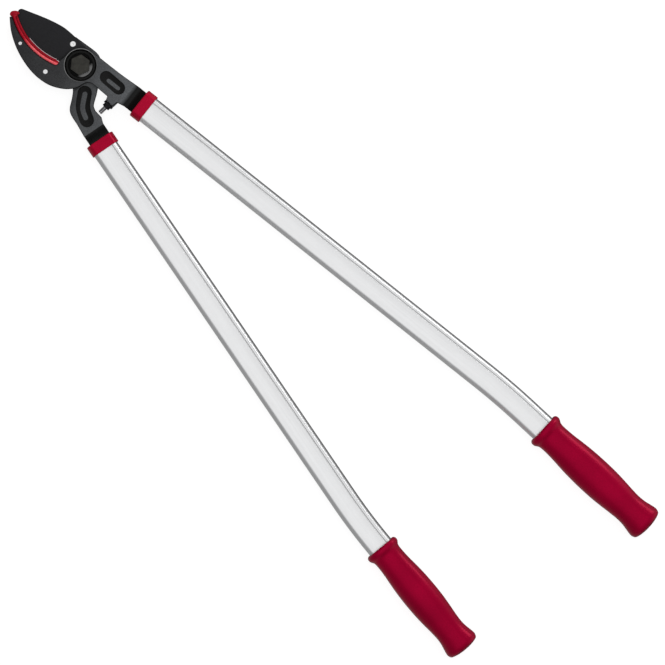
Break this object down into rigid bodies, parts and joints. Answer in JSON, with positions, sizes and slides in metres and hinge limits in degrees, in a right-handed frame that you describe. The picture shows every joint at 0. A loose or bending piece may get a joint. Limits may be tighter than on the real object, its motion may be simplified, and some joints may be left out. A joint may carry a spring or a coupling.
{
  "type": "bypass anvil lopper",
  "caption": "Long-handled pruning lopper: a curved blade closes on a strip-faced hook anvil about one pivot bolt, with oval metal tube handles and moulded grips.",
  "frame": {"origin": "centre of the pivot bolt's end face, on the flat surface that the tool lies on", "axes": "+Z along the pivot axis, out of the side with the bolt's head; +Y from the pivot towards the tips of the closed jaws; handles towards -Y"},
  "size_m": [0.2655, 0.8536, 0.03],
  "materials": {
    "lever_black": "satin black coating over forged steel",
    "blade_black": "smooth matte black coating, ground bright edge",
    "strip_red": "satin red",
    "grip_red": "satin crimson, lightly glossy",
    "tube_aluminium": "drawn, satin anodised",
    "pin_steel": "bright",
    "bolt_black": "blackened steel"
  },
  "bodies": {
    "anvil_side": {"anvil_lever": "lever_black", "anvil_strip": "strip_red", "anvil_backing": "lever_black", "anvil_pin_tip": "pin_steel", "anvil_pin_heel": "pin_steel", "pivot_bolt": "bolt_black", "pivot_washer": "bolt_black", "rear_washer": "bolt_black", "pivot_nut": "bolt_black", "stop_lock_nut": "bolt_black", "collar_right": "grip_red", "tube_right": "tube_aluminium", "grip_right": "grip_red", "tang_rivet_right": "pin_steel"},
    "blade_side": {"blade_lever": "lever_black", "blade": "blade_black", "blade_rivet": "pin_steel", "pivot_bush": "pin_steel", "collar_left": "grip_red", "tube_left": "tube_aluminium", "grip_left": "grip_red", "tang_rivet_left": "pin_steel"},
    "stop": {"stop_screw": "pin_steel"}
  },
  "joints": [
    {"name": "jaw_pivot", "type": "hinge", "parent": "anvil_side", "child": "blade_side", "pos_m": [0, 0, 0.015], "axis": [0, 0, -1], "range_deg": [0, 62]},
    {"name": "stop_adjust", "type": "slide", "parent": "anvil_side", "child": "stop", "axis": [-1, 0, 0], "range_m": [-0.004, 0.0004]}
  ]
}
